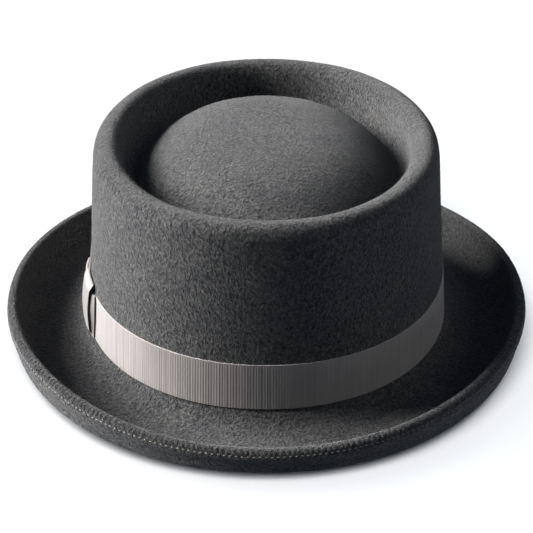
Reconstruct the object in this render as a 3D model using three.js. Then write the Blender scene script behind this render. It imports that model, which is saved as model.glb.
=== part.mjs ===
// Pork pie hat in blocked wool felt, with a ribbon band, a side bow and a full lining set.
// Millimetres, +Z up. X is the hat's width, Y its length. The front is at +Y and the bow
// at -X, on the wearer's left. The origin is on the surface that the brim rests on, under
// the middle of the brim.
import * as THREE from 'three';

// ---- Head oval and crown ----
const HEAD_HALF_WIDTH = 88.5; // outer felt face at the foot of the crown, on X
const HEAD_HALF_DEPTH = 100.9; // the same on Y
const OVAL_POWER = 2.08; // 2 is an ellipse, more is squarer
const CROWN_FOOT_Z = 9;
const CROWN_TOP_Z = 99.1;
const SIDE_TAPER = 7.2; // how far each side leans in over the crown's height
const END_FLARE = 0.8; // how far front and back lean out over the same height
const FELT = 2.2;

// ---- Crown top: rolled rim, gutter and low dome ----
const RIM_RADIUS = 6.8;
const GUTTER_RADIUS = 3;
const GUTTER_FLOOR_Z = 77;
const DOME_TOP_Z = 100.3;
const DOME_DROP = 22.3;
const DOME_POWER = 3.1;
const DOME_HALF_WIDTH = 63.1;
const ROUNDING_HALF_WIDTH = 58; // rings smaller than this turn rounder towards the middle

// ---- Brim ----
const BRIM_FRONT_STRETCH = 1.8; // the brim is this much wider in front than at the sides
const BRIM_BACK_STRETCH = 5.2; // and this much wider behind
const BRIM_HALF_WIDTH = 127.65;
const REST_RING_INNER = 104;
const REST_RING_OUTER = 113.5;
const CURL_RADIUS = 7.8; // of the upper face
const CURL_ANGLE = 84;
const EDGE_RISE = 5.25; // straight stretch between the curl and the fold
const TUNNEL_RADIUS = 0.75; // the space inside the fold that the wire lies in
const FOLD_RADIUS = FELT + TUNNEL_RADIUS;
const FLAP_WRAP = 18; // degrees that the turned-under edge follows the curl's outer face
const FLAP_GAP = 0.3;
const WIRE_RADIUS = 0.45;
const THREAD_RADIUS = 0.3;
const STITCH_ANGLE = 20; // the sewing row's height on the fold, above its outermost point
const EDGE_TOP_Z = 17; // the fold's top, before the brim's lift
const LIFT_MEAN = 0.76; // the brim's edge swings up and down round the hat
const LIFT_TO_FRONT = -4.16;
const LIFT_AT_SIDES = 2.65;
const LIFT_THREEFOLD = -1.51;

// ---- Ribbon band and bow ----
const BAND_LOW_Z = 9.2;
const BAND_HIGH_Z = 32.3;
const RIBBON = 0.5;
const CLEARANCE = 0.3; // between pieces that touch on the real hat
const BOW_TURN = 182; // middle of the bow, in degrees from +X
const BOW_HALF_LENGTH = 35.5;
const BOW_LOW_Z = 9.5;
const UNDER_LEAF_HIGH_Z = 32;
const OVER_LEAF_HIGH_Z = 36.7;
const KNOT_HALF_LENGTH = 8;
const KNOT_HALF_HEIGHT = 10.6;

// ---- Sweatband ----
const LEATHER = 1.0;
const SWEATBAND_LOW_Z = 6.1;
const SWEATBAND_HIGH_Z = 42;
const SWEATBAND_SETBACK = 1.6; // leather's outer face to the felt's inner face
const REED_Z = 3.5;
const REED_SETBACK = 2.2; // reed's centre to the felt's inner face
const REED_RADIUS = 1.1;
const TAPE = 0.5;
const TAPE_TAIL_Z = 14;
const BACK_TURN = 270; // middle of the back, in degrees from +X

// ---- Lining ----
const CLOTH = 0.7;
const LINING_LOW_Z = 28;
const LINING_HIGH_Z = 69.6;
const TIP_EDGE_Z = 72.2;
const TIP_RISE = 8.5;
const PIPING_RADIUS = 0.8;

const STATIONS = 48; // sides of every oval ring
const RADIANS = Math.PI / 180;

const felt = new THREE.MeshStandardMaterial({ color: 0x3c3e42, roughness: 0.95 });
const ribbon = new THREE.MeshStandardMaterial({ color: 0x8d8782, roughness: 0.6 });
const leather = new THREE.MeshStandardMaterial({ color: 0x3a2a20, roughness: 0.5 });
const satin = new THREE.MeshStandardMaterial({ color: 0x4a4c52, roughness: 0.35 });
const thread = new THREE.MeshStandardMaterial({ color: 0xb5aca0, roughness: 0.8 });
const steel = new THREE.MeshStandardMaterial({ color: 0x9a9c9e, roughness: 0.4, metalness: 1 });
const plastic = new THREE.MeshStandardMaterial({ color: 0xd8d4c8, roughness: 0.5 });

// Every oval is drawn about the crown's middle, and the hat then sits centred on its brim.
const hat = new THREE.Group();
hat.position.y = (BRIM_BACK_STRETCH - BRIM_FRONT_STRETCH) / 2;

function addPiece(name, geometry, material) {
  const mesh = new THREE.Mesh(geometry, material);
  mesh.name = name;
  hat.add(mesh);
}

// ---- The oval: a section point (u, z) is drawn where the hat is cut across its width ----

function crownHeightShare(z) {
  return THREE.MathUtils.clamp((z - CROWN_FOOT_Z) / (CROWN_TOP_Z - CROWN_FOOT_Z), 0, 1);
}

// Reach on Y, to the front or to the back, of the ring whose half-width on X is u.
function halfDepth(u, z, toFront) {
  const stretch = toFront ? BRIM_FRONT_STRETCH : BRIM_BACK_STRETCH;
  const brimShare = THREE.MathUtils.clamp(
    (u - HEAD_HALF_WIDTH) / (BRIM_HALF_WIDTH - HEAD_HALF_WIDTH), 0, 1);
  const extra = HEAD_HALF_DEPTH - HEAD_HALF_WIDTH
    + (SIDE_TAPER + END_FLARE) * crownHeightShare(z)
    + stretch * brimShare;
  return u + extra * Math.min(1, u / ROUNDING_HALF_WIDTH);
}

// How far the brim's edge is raised at a turn. It is highest towards the back of each side.
function edgeLift(turn) {
  return LIFT_MEAN
    + LIFT_TO_FRONT * Math.sin(turn * RADIANS)
    + LIFT_AT_SIDES * Math.cos(2 * turn * RADIANS)
    + LIFT_THREEFOLD * Math.sin(3 * turn * RADIANS);
}

// The lift stretches the curl upwards and leaves the resting ring alone.
function liftedZ(u, z, turn) {
  const curlShare = THREE.MathUtils.clamp((u - REST_RING_OUTER + 3.5) / 8, 0, 1);
  return z * (1 + (edgeLift(turn) / EDGE_TOP_Z) * curlShare);
}

// Point of that ring at a turn, in degrees from +X towards +Y.
function ovalPoint(u, z, turn) {
  const c = Math.cos(turn * RADIANS);
  const s = Math.sin(turn * RADIANS);
  const x = Math.sign(c) * u * Math.abs(c) ** (2 / OVAL_POWER);
  const y = Math.sign(s) * halfDepth(u, z, s > 0) * Math.abs(s) ** (2 / OVAL_POWER);
  return new THREE.Vector3(x, y, liftedZ(u, z, turn));
}

function moveVertices(geometry, place) {
  const position = geometry.attributes.position;
  const point = new THREE.Vector3();
  for (let i = 0; i < position.count; i += 1) {
    point.fromBufferAttribute(position, i);
    const moved = place(point);
    position.setXYZ(i, moved.x, moved.y, moved.z);
  }
  geometry.computeVertexNormals();
  return geometry;
}

// A section turned on a lathe, then pushed out of round into the head oval.
function ovalLathe(section) {
  const anticlockwise = THREE.ShapeUtils.area(section) > 0;
  const turned = new THREE.LatheGeometry(anticlockwise ? section : section.reverse(), STATIONS);
  turned.rotateX(Math.PI / 2);
  return moveVertices(turned, (point) => {
    const turn = Math.atan2(point.y, point.x) / RADIANS;
    return ovalPoint(Math.hypot(point.x, point.y), point.z, turn);
  });
}

// A unit box bent into place: along, out and up each run from 0 to 1.
function bentBox(alongSteps, upSteps, place) {
  const box = new THREE.BoxGeometry(1, 1, 1, alongSteps, 1, upSteps);
  box.translate(0.5, 0.5, 0.5);
  return moveVertices(box, (point) => place(point.x, 1 - point.y, point.z));
}

// A strip right round the hat, with its two ends butted at startTurn.
function ovalStrip(startTurn, lowZ, highZ, innerFace, thickness, upSteps) {
  const endGap = 0.2;
  return bentBox(STATIONS, upSteps, (along, out, up) => {
    const z = THREE.MathUtils.lerp(lowZ, highZ, up);
    const turn = THREE.MathUtils.clamp(along * 360, endGap, 360 - endGap);
    return ovalPoint(innerFace(z) + out * thickness, z, startTurn + turn);
  });
}

// ---- Section outlines ----

function arc(centreU, centreZ, radius, fromDegrees, toDegrees, steps) {
  const curve = new THREE.EllipseCurve(centreU, centreZ, radius, radius,
    fromDegrees * RADIANS, toDegrees * RADIANS, toDegrees < fromDegrees);
  return curve.getPoints(steps);
}

function closed(outline) {
  return [...outline, outline[0].clone()];
}

function roundSection(centreU, centreZ, radius, sides) {
  const outline = [];
  for (let i = 0; i < sides; i += 1) {
    const angle = (i / sides) * 2 * Math.PI;
    outline.push(new THREE.Vector2(centreU + radius * Math.cos(angle),
      centreZ + radius * Math.sin(angle)));
  }
  return closed(outline);
}

// The same line moved sideways by a distance, to its right.
function offsetLine(line, distance) {
  return line.map((point, i) => {
    const before = line[Math.max(0, i - 1)];
    const after = line[Math.min(line.length - 1, i + 1)];
    const heading = after.clone().sub(before).normalize();
    return new THREE.Vector2(point.x + heading.y * distance, point.y - heading.x * distance);
  });
}

function wallOuter(z) {
  return HEAD_HALF_WIDTH - SIDE_TAPER * crownHeightShare(z);
}

function wallInner(z) {
  return wallOuter(z) - FELT;
}

// A point beside the brim's straight edge: height measured up the edge from the top of
// the curl, depth measured outwards from the felt's upper face.
function edgePoint(height, depth) {
  const sin = Math.sin(CURL_ANGLE * RADIANS);
  const cos = Math.cos(CURL_ANGLE * RADIANS);
  return new THREE.Vector2(
    REST_RING_OUTER + (CURL_RADIUS + depth) * sin + height * cos,
    FELT + CURL_RADIUS - (CURL_RADIUS + depth) * cos + height * sin);
}

// Upper face of the felt from the middle of the dome to the foot of the edge's fold.
function upperFace() {
  const rimZ = CROWN_TOP_Z - RIM_RADIUS;
  const rimU = wallOuter(rimZ) - RIM_RADIUS;
  const gutterU = rimU - RIM_RADIUS - GUTTER_RADIUS;
  const gutterZ = GUTTER_FLOOR_Z + GUTTER_RADIUS;
  const line = [];
  const domeSteps = 9;
  for (let i = 0; i <= domeSteps; i += 1) {
    const share = i / domeSteps;
    line.push(new THREE.Vector2(DOME_HALF_WIDTH * share,
      DOME_TOP_Z - DOME_DROP * share ** DOME_POWER));
  }
  line[0].y = DOME_TOP_Z;
  line.push(...arc(gutterU, gutterZ, GUTTER_RADIUS, 225, 360, 4));
  line.push(...arc(rimU, rimZ, RIM_RADIUS, 180, 0, 8));
  const brimBreak = new THREE.CubicBezierCurve(
    new THREE.Vector2(wallOuter(12), 12), new THREE.Vector2(HEAD_HALF_WIDTH, 5.4),
    new THREE.Vector2(95, FELT + 0.2), new THREE.Vector2(REST_RING_INNER, FELT));
  line.push(...brimBreak.getPoints(6));
  line.push(new THREE.Vector2(REST_RING_INNER + 1, FELT));
  line.push(new THREE.Vector2(REST_RING_OUTER - 1, FELT));
  line.push(...arc(REST_RING_OUTER, FELT + CURL_RADIUS, CURL_RADIUS, 270, 270 + CURL_ANGLE, 5));
  line.push(edgePoint(EDGE_RISE, 0));
  return line;
}

// The turned-under edge: down its outer face and part way round the curl, then back up
// its inner face.
function flap() {
  const innerDepth = FELT + FLAP_GAP;
  const outerDepth = innerDepth + FELT;
  const top = CURL_ANGLE - 90;
  const low = top - FLAP_WRAP;
  const curl = (depth, from, to) => arc(REST_RING_OUTER, FELT + CURL_RADIUS,
    CURL_RADIUS + depth, from, to, 2);
  return [
    edgePoint(EDGE_RISE - 2, outerDepth + 0.8),
    ...curl(outerDepth, top, low),
    ...curl(innerDepth, low, top),
    edgePoint(EDGE_RISE - 1.5, innerDepth),
  ];
}

// ---- Pieces ----

function feltBody() {
  const upper = upperFace();
  const under = offsetLine(upper, FELT).reverse();
  under[under.length - 1].x = 0;
  const fold = edgePoint(EDGE_RISE, FOLD_RADIUS);
  const inward = 90 + CURL_ANGLE;
  const overFold = arc(fold.x, fold.y, FOLD_RADIUS, inward, inward - 180, 7);
  const tunnel = arc(fold.x, fold.y, TUNNEL_RADIUS, inward - 180, inward, 4);
  return ovalLathe([...upper, ...overFold.slice(1), ...flap(), ...tunnel, ...under.slice(1)]);
}

function brimWire() {
  const fold = edgePoint(EDGE_RISE, FOLD_RADIUS);
  return ovalLathe(roundSection(fold.x, fold.y, WIRE_RADIUS, 6));
}

// The sewing row that holds the turned-under edge, on the outside of its fold.
function brimStitching() {
  const fold = edgePoint(EDGE_RISE, FOLD_RADIUS);
  const reach = FOLD_RADIUS + CLEARANCE + THREAD_RADIUS;
  const angle = STITCH_ANGLE * RADIANS;
  return ovalLathe(roundSection(fold.x + reach * Math.cos(angle),
    fold.y + reach * Math.sin(angle), THREAD_RADIUS, 4));
}

function bandInner(z) {
  return wallOuter(z) + CLEARANCE + (z < 12 ? 0.3 : 0);
}

function hatBand() {
  return ovalStrip(BOW_TURN, BAND_LOW_Z, BAND_HIGH_Z, bandInner, RIBBON, 3);
}

// How far a leaf's middle stands off, from 0 at the knot to 1 where it puffs out most.
function puff(reach) {
  const swell = THREE.MathUtils.smoothstep(reach, KNOT_HALF_LENGTH + 1, 26);
  return swell * (1 - 0.3 * THREE.MathUtils.smoothstep(reach, 26, BOW_HALF_LENGTH));
}

// A ribbon leaf of the bow. It puffs away from the band between the knot and its ends, is
// pinched in height at the knot, and its upper corners lie back towards the felt.
function bowLeaf(halfLength, highZ, restGap, puffDepth, cornerDrop) {
  const midZ = (BOW_LOW_Z + highZ) / 2;
  const halfHeight = (highZ - BOW_LOW_Z) / 2;
  const waistHalfHeight = KNOT_HALF_HEIGHT - 1.2;
  const waistZ = (BAND_LOW_Z + BAND_HIGH_Z) / 2;
  return bentBox(14, 8, (along, out, up) => {
    const run = (along - 0.5) * 2;
    const rise = (up - 0.5) * 2;
    const reach = Math.abs(run) * halfLength;
    const spread = THREE.MathUtils.smoothstep(reach, KNOT_HALF_LENGTH + 0.5, KNOT_HALF_LENGTH + 8);
    const z = THREE.MathUtils.lerp(waistZ + rise * waistHalfHeight, midZ + rise * halfHeight, spread);
    const drop = cornerDrop * THREE.MathUtils.smoothstep(rise, 0.74, 1) * spread;
    const stand = restGap + puffDepth * (1 - rise * rise) * puff(reach) - drop;
    const u = wallOuter(z) + CLEARANCE + RIBBON + stand + out * RIBBON;
    const turn = BOW_TURN + (run * halfLength) / HEAD_HALF_DEPTH / RADIANS;
    return ovalPoint(u, z, turn);
  });
}

// The short ribbon that wraps the waist of the bow, open at the back against the band.
function bowKnot() {
  const midZ = (BAND_LOW_Z + BAND_HIGH_Z) / 2;
  const halfHeight = KNOT_HALF_HEIGHT;
  const nearFace = CLEARANCE;
  const farFace = 2.4;
  const outline = (inset) => [
    [nearFace, -halfHeight + inset],
    [farFace - 0.5 - inset, -halfHeight + inset],
    [farFace - inset, -halfHeight + 0.8 + inset],
    [farFace - inset, halfHeight - 0.8 - inset],
    [farFace - 0.5 - inset, halfHeight - inset],
    [nearFace, halfHeight - inset],
  ];
  const shape = new THREE.Shape();
  const ring = [...outline(0), ...outline(RIBBON).reverse()];
  ring.forEach(([out, rise], i) => (i === 0 ? shape.moveTo(out, rise) : shape.lineTo(out, rise)));
  shape.closePath();
  const strip = new THREE.ExtrudeGeometry(shape,
    { depth: 2 * KNOT_HALF_LENGTH, steps: 4, bevelEnabled: false });
  return moveVertices(strip, (point) => {
    const z = midZ + point.y;
    const turn = BOW_TURN - (point.z - KNOT_HALF_LENGTH) / HEAD_HALF_DEPTH / RADIANS;
    return ovalPoint(wallOuter(z) + CLEARANCE + RIBBON + point.x, z, turn);
  });
}

function sweatbandInner(z) {
  return wallInner(z) - SWEATBAND_SETBACK - LEATHER;
}

function sweatband() {
  return ovalStrip(BACK_TURN, SWEATBAND_LOW_Z, SWEATBAND_HIGH_Z, sweatbandInner, LEATHER, 3);
}

function reedCentreU() {
  return wallInner(REED_Z) - REED_SETBACK;
}

function sweatbandReed() {
  return ovalLathe(roundSection(reedCentreU(), REED_Z, REED_RADIUS, 6));
}

// Tape folded round the reed, with a tail that is sewn up the inside of the felt.
function reedTape() {
  const innerRadius = REED_RADIUS + CLEARANCE;
  const outerRadius = innerRadius + TAPE;
  const tailFace = (z) => wallInner(z) - 0.4;
  const centreU = reedCentreU();
  return ovalLathe(closed([
    ...arc(centreU, REED_Z, innerRadius, 60, 340, 6),
    new THREE.Vector2(centreU + innerRadius + 0.1, REED_Z + 1.5),
    new THREE.Vector2(tailFace(TAPE_TAIL_Z) - TAPE, TAPE_TAIL_Z),
    new THREE.Vector2(tailFace(TAPE_TAIL_Z), TAPE_TAIL_Z),
    new THREE.Vector2(centreU + outerRadius + 0.1, REED_Z + 1.2),
    ...arc(centreU, REED_Z, outerRadius, 340, 60, 7),
  ]));
}

function sweatbandStitching() {
  const z = SWEATBAND_LOW_Z + 3;
  const u = sweatbandInner(z) - CLEARANCE - THREAD_RADIUS;
  return ovalLathe(roundSection(u, z, THREAD_RADIUS, 4));
}

// A patch on the sweatband's wall, between two turns and two heights.
function wallPatch(middleTurn, halfLength, lowZ, highZ, innerFace, thickness) {
  return bentBox(6, 2, (along, out, up) => {
    const z = THREE.MathUtils.lerp(lowZ, highZ, up);
    const turn = middleTurn + ((along - 0.5) * 2 * halfLength) / HEAD_HALF_WIDTH / RADIANS;
    return ovalPoint(innerFace(z) + out * thickness(along, up), z, turn);
  });
}

// Tape behind the leather that bridges the butt joint at the back.
function jointTape() {
  const face = (z) => sweatbandInner(z) + LEATHER + 0.35;
  return wallPatch(BACK_TURN, 6, TAPE_TAIL_Z + 1, LINING_LOW_Z - 1, face, () => 0.5);
}

// The small bow that covers the joint's foot, on the wearer's side of the leather.
function sweatbandBow() {
  const thickest = 2.2;
  const face = (z) => sweatbandInner(z) - 0.5 - thickest;
  return wallPatch(BACK_TURN, 8, 11, 17, face, (along) => {
    const waist = 0.55 + 0.45 * Math.abs(along - 0.5) * 2;
    return thickest * waist;
  });
}

function sizeTag() {
  const face = (z) => sweatbandInner(z) - 0.9;
  return wallPatch(BACK_TURN - 20, 9, 20, 34, face, () => 0.4);
}

function liningSide() {
  const face = (z) => wallInner(z) - 0.4;
  return ovalLathe(closed([
    new THREE.Vector2(face(LINING_LOW_Z), LINING_LOW_Z),
    new THREE.Vector2(face(LINING_HIGH_Z), LINING_HIGH_Z),
    new THREE.Vector2(face(LINING_HIGH_Z) - CLOTH, LINING_HIGH_Z),
    new THREE.Vector2(face(LINING_LOW_Z) - CLOTH, LINING_LOW_Z),
  ]));
}

function liningPiping() {
  const z = (LINING_HIGH_Z + TIP_EDGE_Z) / 2;
  return ovalLathe(roundSection(wallInner(z) - 0.5 - PIPING_RADIUS, z, PIPING_RADIUS, 6));
}

// The oval of lining under the crown's top, which rises a little inside the dome.
function liningTip() {
  const edge = wallInner(TIP_EDGE_Z) - 0.6;
  const steps = 5;
  const face = (lift) => {
    const line = [];
    for (let i = 0; i <= steps; i += 1) {
      const share = i / steps;
      const rise = TIP_RISE * (1 - share * share) ** 2;
      line.push(new THREE.Vector2(share * (ROUNDING_HALF_WIDTH - 2), TIP_EDGE_Z + rise + lift));
    }
    line.push(new THREE.Vector2(edge, TIP_EDGE_Z + lift));
    return line;
  };
  return ovalLathe([...face(0), ...face(CLOTH).reverse()]);
}

addPiece('felt_body', feltBody(), felt);
addPiece('brim_wire', brimWire(), steel);
addPiece('brim_stitching', brimStitching(), thread);
addPiece('hat_band', hatBand(), ribbon);
addPiece('bow_under_leaf', bowLeaf(BOW_HALF_LENGTH - 0.5, UNDER_LEAF_HIGH_Z, 0.3, 0.5, 0), ribbon);
addPiece('bow_over_leaf', bowLeaf(BOW_HALF_LENGTH, OVER_LEAF_HIGH_Z, 1.1, 2.2, 1.2), ribbon);
addPiece('bow_knot', bowKnot(), ribbon);
addPiece('sweatband', sweatband(), leather);
addPiece('sweatband_reed', sweatbandReed(), plastic);
addPiece('reed_tape', reedTape(), ribbon);
addPiece('sweatband_stitching', sweatbandStitching(), thread);
addPiece('sweatband_joint_tape', jointTape(), satin);
addPiece('sweatband_bow', sweatbandBow(), satin);
addPiece('size_tag', sizeTag(), satin);
addPiece('lining_side', liningSide(), satin);
addPiece('lining_piping', liningPiping(), satin);
addPiece('lining_tip', liningTip(), satin);

export default hat;
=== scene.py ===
"""Pork pie hat: the visual model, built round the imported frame. Lengths are in metres."""
import math

import bpy
import numpy as np
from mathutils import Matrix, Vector


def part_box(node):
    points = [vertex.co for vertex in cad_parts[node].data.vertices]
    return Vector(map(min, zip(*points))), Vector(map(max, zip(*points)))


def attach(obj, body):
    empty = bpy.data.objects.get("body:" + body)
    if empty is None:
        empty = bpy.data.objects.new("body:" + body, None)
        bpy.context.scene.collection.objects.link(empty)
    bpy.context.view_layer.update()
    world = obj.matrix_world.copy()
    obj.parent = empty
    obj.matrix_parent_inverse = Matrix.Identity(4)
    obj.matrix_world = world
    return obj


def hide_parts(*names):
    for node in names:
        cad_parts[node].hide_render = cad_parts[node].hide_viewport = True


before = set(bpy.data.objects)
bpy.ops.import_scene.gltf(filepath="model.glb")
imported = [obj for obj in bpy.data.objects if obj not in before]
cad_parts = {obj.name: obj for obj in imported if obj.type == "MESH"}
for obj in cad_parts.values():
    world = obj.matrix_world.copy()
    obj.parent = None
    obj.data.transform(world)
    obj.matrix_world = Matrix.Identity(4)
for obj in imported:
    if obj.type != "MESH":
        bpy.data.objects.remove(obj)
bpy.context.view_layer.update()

MM = 0.001
FULL_TURN = 2 * math.pi
UP = np.array([0, 0, 1.0])

# ---------------- the hat's own dimensions
BAND_LOW_Z, BAND_HIGH_Z = (corner.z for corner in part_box("hat_band"))

FELT = 2.2 * MM
CLEARANCE = 0.3 * MM
RIBBON = 0.5 * MM
BRIM_HALF_WIDTH = 127.65 * MM
HEAD_HALF_WIDTH = 88.5 * MM
HEAD_HALF_DEPTH = 100.9 * MM
OVAL_POWER = 2.08
CROWN_FOOT_Z = 9 * MM
CROWN_TOP_Z = 99.1 * MM
SIDE_TAPER = 7.2 * MM
END_FLARE = 0.8 * MM
FRONT_STRETCH = 1.8 * MM
BACK_STRETCH = 5.2 * MM
CENTRE_Y = (BACK_STRETCH - FRONT_STRETCH) / 2

RIM_RADIUS = 6.8 * MM
GUTTER_RADIUS = 3 * MM
GUTTER_FLOOR_Z = 77 * MM
DOME_TOP_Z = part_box("felt_body")[1].z
DOME_DROP = 22.3 * MM
DOME_POWER = 3.1
DOME_HALF_WIDTH = 63.1 * MM
ROUNDING_HALF_WIDTH = 58 * MM

REST_RING_INNER = 104 * MM
REST_RING_OUTER = 113.5 * MM
CURL_RADIUS = 7.8 * MM
CURL_ANGLE = math.radians(84)
EDGE_RISE = 5.25 * MM
TUNNEL_RADIUS = 0.75 * MM
FOLD_RADIUS = FELT + TUNNEL_RADIUS
FLAP_WRAP = math.radians(18)
FLAP_GAP = 0.3 * MM
FLAP_DEPTH = 2 * FELT + FLAP_GAP
CURL_CENTRE = (REST_RING_OUTER, FELT + CURL_RADIUS)
CURL_TOP = CURL_ANGLE - math.pi / 2
FOLD_START = CURL_ANGLE + math.pi / 2
RIM_INNER = 66 * MM
STITCH_PITCH = 2.5 * MM
STITCH_ANGLE = math.radians(20)
EDGE_TOP_Z = 17 * MM
LIFT_MEAN = 0.76 * MM
LIFT_TO_FRONT = -4.16 * MM
LIFT_AT_SIDES = 2.65 * MM
LIFT_THREEFOLD = -1.51 * MM

BAND_MID_Z = (BAND_LOW_Z + BAND_HIGH_Z) / 2
RIB_PITCH = 1.25 * MM
STATIONS_PER_RIB = 6
RIBBON_CORE = 0.38 * MM
BAND_RIB_HEIGHT = 0.12 * MM
BOW_RIB_HEIGHT = 0.07 * MM
BOW_TURN = math.radians(182)
BOW_HALF_LENGTH = 35.5 * MM
BOW_LOW_Z = 9.5 * MM
KNOT_HALF_LENGTH = 8 * MM
KNOT_HALF_HEIGHT = 8.9 * MM
LEAF_THICKNESS = 0.34 * MM
BACK_TURN = -math.pi / 2

SWEATBAND_SETBACK = 1.6 * MM
LEATHER = 1.0 * MM
CLOTH = 0.7 * MM

BODY_STATIONS = 720
EDGE_FACTOR = 3  # the brim's edge has that many times the crown's stations
EDGE_STATIONS = BODY_STATIONS * EDGE_FACTOR
EDGE_WAVE = 0.28 * MM
EDGE_WAVES = (3, 5, 9, 16, 29)
EDGE_WAVE_SEED = 3

DENT_HEIGHT = 0.16 * MM
DENTED_FROM_Z = 3.5 * MM
CREASE_DEPTH = 0.8 * MM
PUCKER_HEIGHT = 0.13 * MM
PUCKER_WIDTH = 1.7 * MM
PUCKER_ABOVE_ROW = 1.9 * MM
GROOVE_DEPTH = 0.22 * MM
GROOVE_WIDTH = 0.55 * MM
ROW_SUNK = 0.2 * MM
# each thread's half-length, radius and rise
BRIM_THREAD = (0.62 * MM, 0.23 * MM, 0.13 * MM)
SEAM_THREAD = (1.05 * MM, 0.22 * MM, 0.18 * MM)
SEAM_STITCHES = 190

CAMERA_ELEVATION = math.radians(28.9)
CAMERA_DISTANCE = 0.7
CAMERA_LENS = 94.6
CAMERA_TARGET = (0.07 * MM, CENTRE_Y, 25.4 * MM)


# ---------------- camera
def make_camera():
    back = Vector((0, -math.cos(CAMERA_ELEVATION), math.sin(CAMERA_ELEVATION)))
    camera_data = bpy.data.cameras.new("camera")
    camera_data.sensor_width = 36
    camera_data.lens = CAMERA_LENS
    camera = bpy.data.objects.new("camera", camera_data)
    bpy.context.scene.collection.objects.link(camera)
    camera.location = Vector(CAMERA_TARGET) + back * CAMERA_DISTANCE
    camera.rotation_euler = (-back).to_track_quat("-Z", "Y").to_euler()
    bpy.context.scene.camera = camera


make_camera()


# ---------------- the oval
def smoothstep(x, low, high):
    t = np.clip((x - low) / (high - low), 0, 1)
    return t * t * (3 - 2 * t)


def bell(x, width):
    return np.exp(-(x / width) ** 2)


def full_turns(count):
    return np.linspace(0, FULL_TURN, count, endpoint=False)


def unit(rows):
    return rows / np.linalg.norm(rows, axis=1)[:, None]


def length_along(points):
    """The length from the first point to each point."""
    return np.concatenate([[0], np.cumsum(np.linalg.norm(np.diff(points, axis=0), axis=1))])


def crown_share(z):
    return np.clip((z - CROWN_FOOT_Z) / (CROWN_TOP_Z - CROWN_FOOT_Z), 0, 1)


def wall_outer(z):
    return HEAD_HALF_WIDTH - SIDE_TAPER * crown_share(z)


def wall_inner(z):
    return wall_outer(z) - FELT


def edge_lift(turn):
    """How far the brim's edge is raised at a turn: up along the sides, down in front."""
    return (LIFT_MEAN + LIFT_TO_FRONT * np.sin(turn) + LIFT_AT_SIDES * np.cos(2 * turn)
            + LIFT_THREEFOLD * np.sin(3 * turn))


def oval(u, z, turn):
    """Points of the ring whose half-width is u, at height z and at a turn from +X. Arrays broadcast."""
    c, s = np.cos(turn), np.sin(turn)
    curl_share = np.clip((u - REST_RING_OUTER + 3.5 * MM) / (8 * MM), 0, 1)
    lifted = z * (1 + edge_lift(turn) / EDGE_TOP_Z * curl_share)
    stretch = np.where(s > 0, FRONT_STRETCH, BACK_STRETCH)
    brim_share = np.clip((u - HEAD_HALF_WIDTH) / (BRIM_HALF_WIDTH - HEAD_HALF_WIDTH), 0, 1)
    extra = (HEAD_HALF_DEPTH - HEAD_HALF_WIDTH + (SIDE_TAPER + END_FLARE) * crown_share(z)
             + stretch * brim_share)
    depth = u + extra * np.minimum(1, u / ROUNDING_HALF_WIDTH)
    power = 2 / OVAL_POWER
    x = np.sign(c) * u * np.abs(c) ** power
    y = np.sign(s) * depth * np.abs(s) ** power + CENTRE_Y
    return np.stack(np.broadcast_arrays(x, y, lifted), -1)


def axis_point(z):
    """The oval's middle at height z, as one row."""
    return oval(np.array([0.0]), np.array([z]), np.array([0.0])).reshape(1, 3)


def ring_rows(points):
    """A (stations, section, 3) grid as one list of points, ring after ring."""
    return points.transpose(1, 0, 2).reshape(-1, 3)


def even_turns(u, z, count, start=0.0):
    """Turns that step evenly along that ring, and the ring's length."""
    turn = start + np.linspace(0, FULL_TURN, 2881)
    along = length_along(oval(u, z, turn))
    wanted = np.linspace(0, along[-1], count + 1)[:-1]
    return np.interp(wanted, along, turn), along[-1]


# ---------------- mesh helpers
def add_mesh(name, points, faces, material, smooth=True):
    """faces is a list of arrays, each with one row of corners per face."""
    mesh = bpy.data.meshes.new(name)
    points = np.asarray(points, np.float32).reshape(-1, 3)
    mesh.vertices.add(len(points))
    mesh.vertices.foreach_set("co", points.ravel())
    corners = np.concatenate([f.ravel() for f in faces])
    sizes = np.concatenate([np.full(len(f), f.shape[1]) for f in faces])
    starts = np.concatenate([[0], np.cumsum(sizes)[:-1]])
    mesh.loops.add(len(corners))
    mesh.loops.foreach_set("vertex_index", corners.astype(np.int32))
    mesh.polygons.add(len(sizes))
    mesh.polygons.foreach_set("loop_start", starts.astype(np.int32))
    mesh.polygons.foreach_set("use_smooth", np.full(len(sizes), smooth))
    mesh.update(calc_edges=True)
    mesh.validate()
    mesh.materials.append(material)
    piece = bpy.data.objects.new(name, mesh)
    bpy.context.scene.collection.objects.link(piece)
    return piece


def grid_faces(rows, columns, wrap_rows=False, wrap_columns=False, offset=0):
    """Quads of a grid whose vertex (r, c) is number offset + r * columns + c."""
    r = np.arange(rows if wrap_rows else rows - 1)
    c = np.arange(columns if wrap_columns else columns - 1)
    r, c = np.meshgrid(r, c, indexing="ij")
    r2, c2 = (r + 1) % rows, (c + 1) % columns
    quads = np.stack([r * columns + c, r2 * columns + c, r2 * columns + c2, r * columns + c2], -1)
    return quads.reshape(-1, 4) + offset


def fan(tip, first, second):
    """Triangles from one vertex to each pair."""
    return np.stack([np.full(len(first), tip), first, second], 1)


def closed_strip(points):
    """Faces of a strip: points (stations, section, 3) with a closed section and two end caps."""
    stations, section = points.shape[:2]
    sides = grid_faces(stations, section, wrap_columns=True)
    caps = np.array([np.arange(section), np.arange(section)[::-1] + (stations - 1) * section])
    return [sides, caps]


def noise_row(count, waves, seed, decay=0.6):
    """A smooth periodic row of numbers, about -1 to 1, made of a few sine waves."""
    local = np.random.default_rng(seed)
    turn = full_turns(count)
    row = np.zeros(count)
    for i, wave in enumerate(waves):
        row += decay ** i * np.sin(wave * turn + local.uniform(0, FULL_TURN))
    return row / sum(decay ** i for i in range(len(waves)))


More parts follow.
